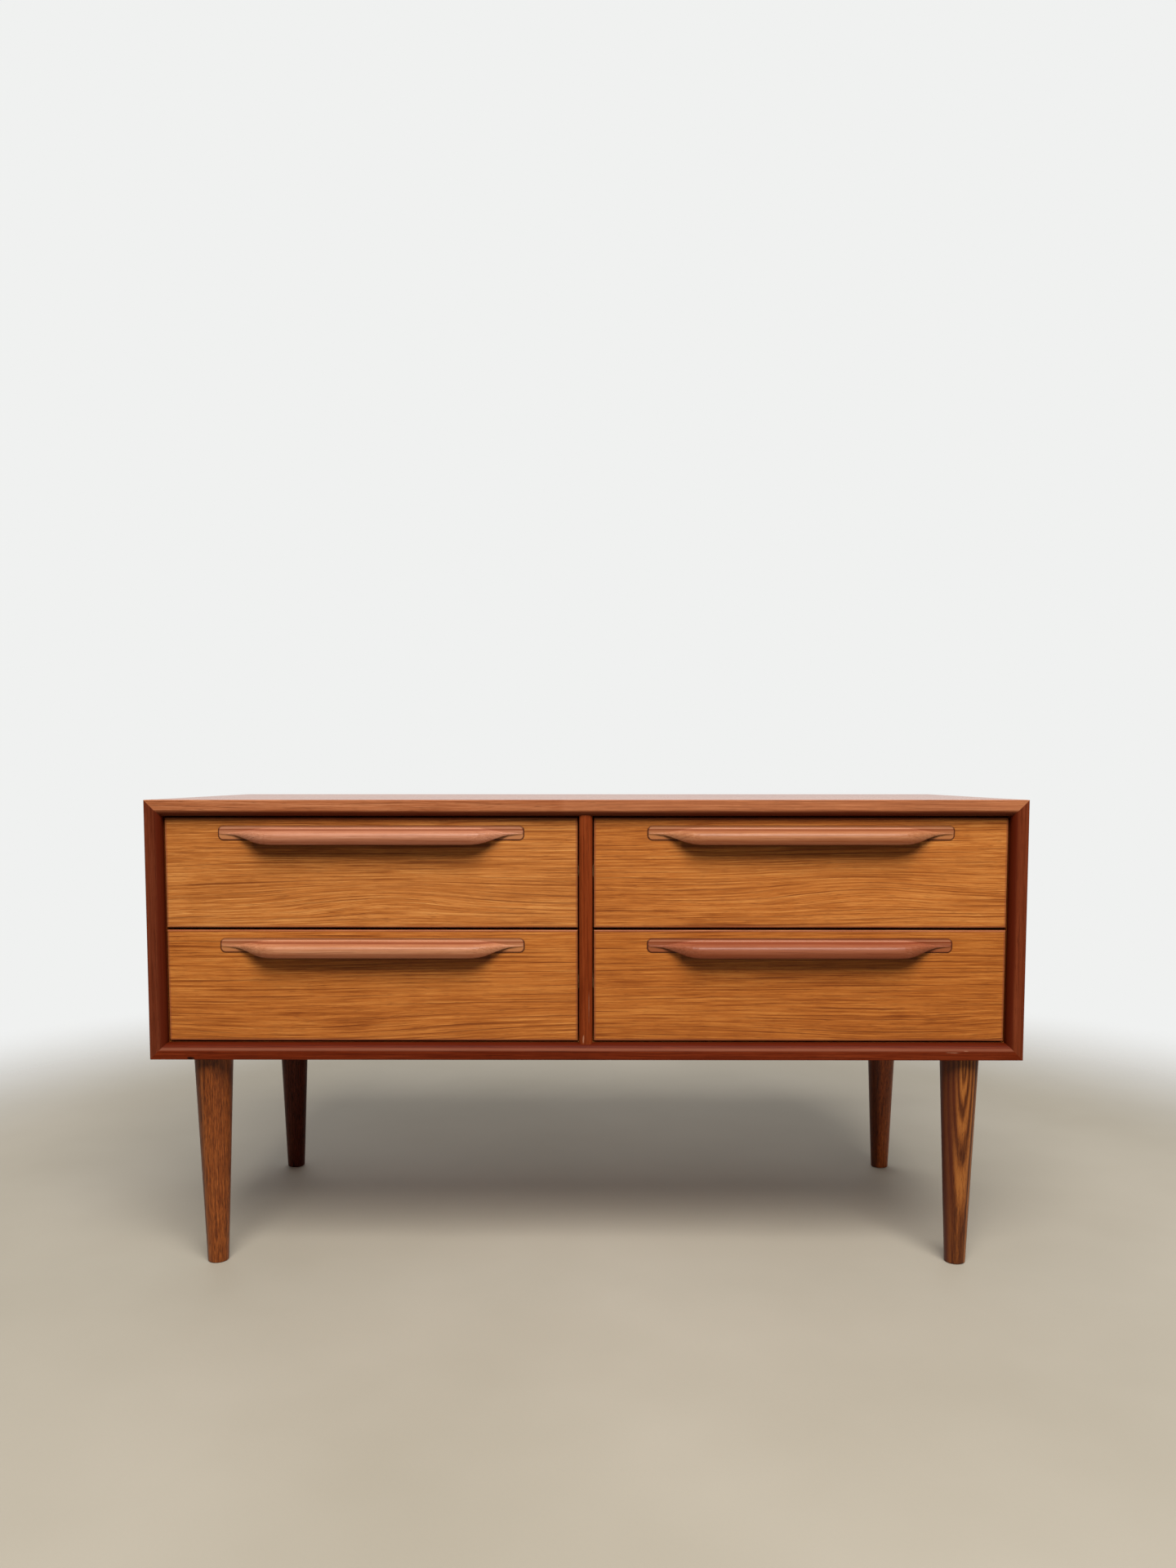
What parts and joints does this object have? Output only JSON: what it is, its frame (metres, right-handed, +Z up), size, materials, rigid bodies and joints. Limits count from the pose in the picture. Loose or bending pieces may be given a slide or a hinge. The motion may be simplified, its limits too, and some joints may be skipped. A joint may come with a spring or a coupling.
{
  "type": "dresser with drawers",
  "caption": "Low wooden dresser: rectangular case with a rounded front lipping, inset drawers in two columns with long sculpted handles, on round tapered legs.",
  "frame": {"origin": "on the floor, under the centre of the overall box, handles included", "axes": "+X to the right seen from the front, +Y from the front to the back, +Z up"},
  "size_m": [1.1, 0.46, 0.6015],
  "materials": {
    "case_veneer": "satin varnish over teak veneer",
    "drawer_veneer": "satin varnish over teak veneer",
    "lipping_teak": "satin varnish over solid teak",
    "handle_teak": "satin varnish over solid teak",
    "leg_wood": "satin varnish over open-pored hardwood",
    "drawer_wood": "thin clear finish on pale hardwood",
    "plywood": "thin clear finish on plywood",
    "runner_wood": "waxed beech",
    "steel": "zinc-plated steel"
  },
  "bodies": {
    "case": {"top_panel": "case_veneer", "bottom_panel": "case_veneer", "side_panel_left": "case_veneer", "side_panel_right": "case_veneer", "divider_panel": "case_veneer", "back_panel": "plywood", "lipping_top": "lipping_teak", "lipping_bottom": "lipping_teak", "lipping_left": "lipping_teak", "lipping_right": "lipping_teak", "lipping_divider": "lipping_teak", "corner_tongues": "runner_wood", "divider_dowels": "runner_wood", "back_panel_screws": "steel", "runner_screws": "steel", "leg_plates": "steel", "leg_hanger_bolts": "steel", "leg_plate_screws": "steel", "leg_front_left": "leg_wood", "leg_front_right": "leg_wood", "leg_back_left": "leg_wood", "leg_back_right": "leg_wood", "runner_upper_left_left": "runner_wood", "runner_upper_left_right": "runner_wood", "runner_upper_right_left": "runner_wood", "runner_upper_right_right": "runner_wood", "runner_lower_left_left": "runner_wood", "runner_lower_left_right": "runner_wood", "runner_lower_right_left": "runner_wood", "runner_lower_right_right": "runner_wood"},
    "upper_left_drawer": {"drawer_upper_left_front": "drawer_veneer", "drawer_upper_left_side_left": "drawer_wood", "drawer_upper_left_side_right": "drawer_wood", "drawer_upper_left_back": "drawer_wood", "drawer_upper_left_bottom": "plywood", "drawer_upper_left_handle": "handle_teak", "drawer_upper_left_handle_screws": "steel"},
    "upper_right_drawer": {"drawer_upper_right_front": "drawer_veneer", "drawer_upper_right_side_left": "drawer_wood", "drawer_upper_right_side_right": "drawer_wood", "drawer_upper_right_back": "drawer_wood", "drawer_upper_right_bottom": "plywood", "drawer_upper_right_handle": "handle_teak", "drawer_upper_right_handle_screws": "steel"},
    "lower_left_drawer": {"drawer_lower_left_front": "drawer_veneer", "drawer_lower_left_side_left": "drawer_wood", "drawer_lower_left_side_right": "drawer_wood", "drawer_lower_left_back": "drawer_wood", "drawer_lower_left_bottom": "plywood", "drawer_lower_left_handle": "handle_teak", "drawer_lower_left_handle_screws": "steel"},
    "lower_right_drawer": {"drawer_lower_right_front": "drawer_veneer", "drawer_lower_right_side_left": "drawer_wood", "drawer_lower_right_side_right": "drawer_wood", "drawer_lower_right_back": "drawer_wood", "drawer_lower_right_bottom": "plywood", "drawer_lower_right_handle": "handle_teak", "drawer_lower_right_handle_screws": "steel"}
  },
  "joints": [
    {"name": "upper_left_drawer_slide", "type": "slide", "parent": "case", "child": "upper_left_drawer", "axis": [0, -1, 0], "range_m": [0, 0.3]},
    {"name": "upper_right_drawer_slide", "type": "slide", "parent": "case", "child": "upper_right_drawer", "axis": [0, -1, 0], "range_m": [0, 0.3]},
    {"name": "lower_left_drawer_slide", "type": "slide", "parent": "case", "child": "lower_left_drawer", "axis": [0, -1, 0], "range_m": [0, 0.3]},
    {"name": "lower_right_drawer_slide", "type": "slide", "parent": "case", "child": "lower_right_drawer", "axis": [0, -1, 0], "range_m": [0, 0.3]}
  ]
}
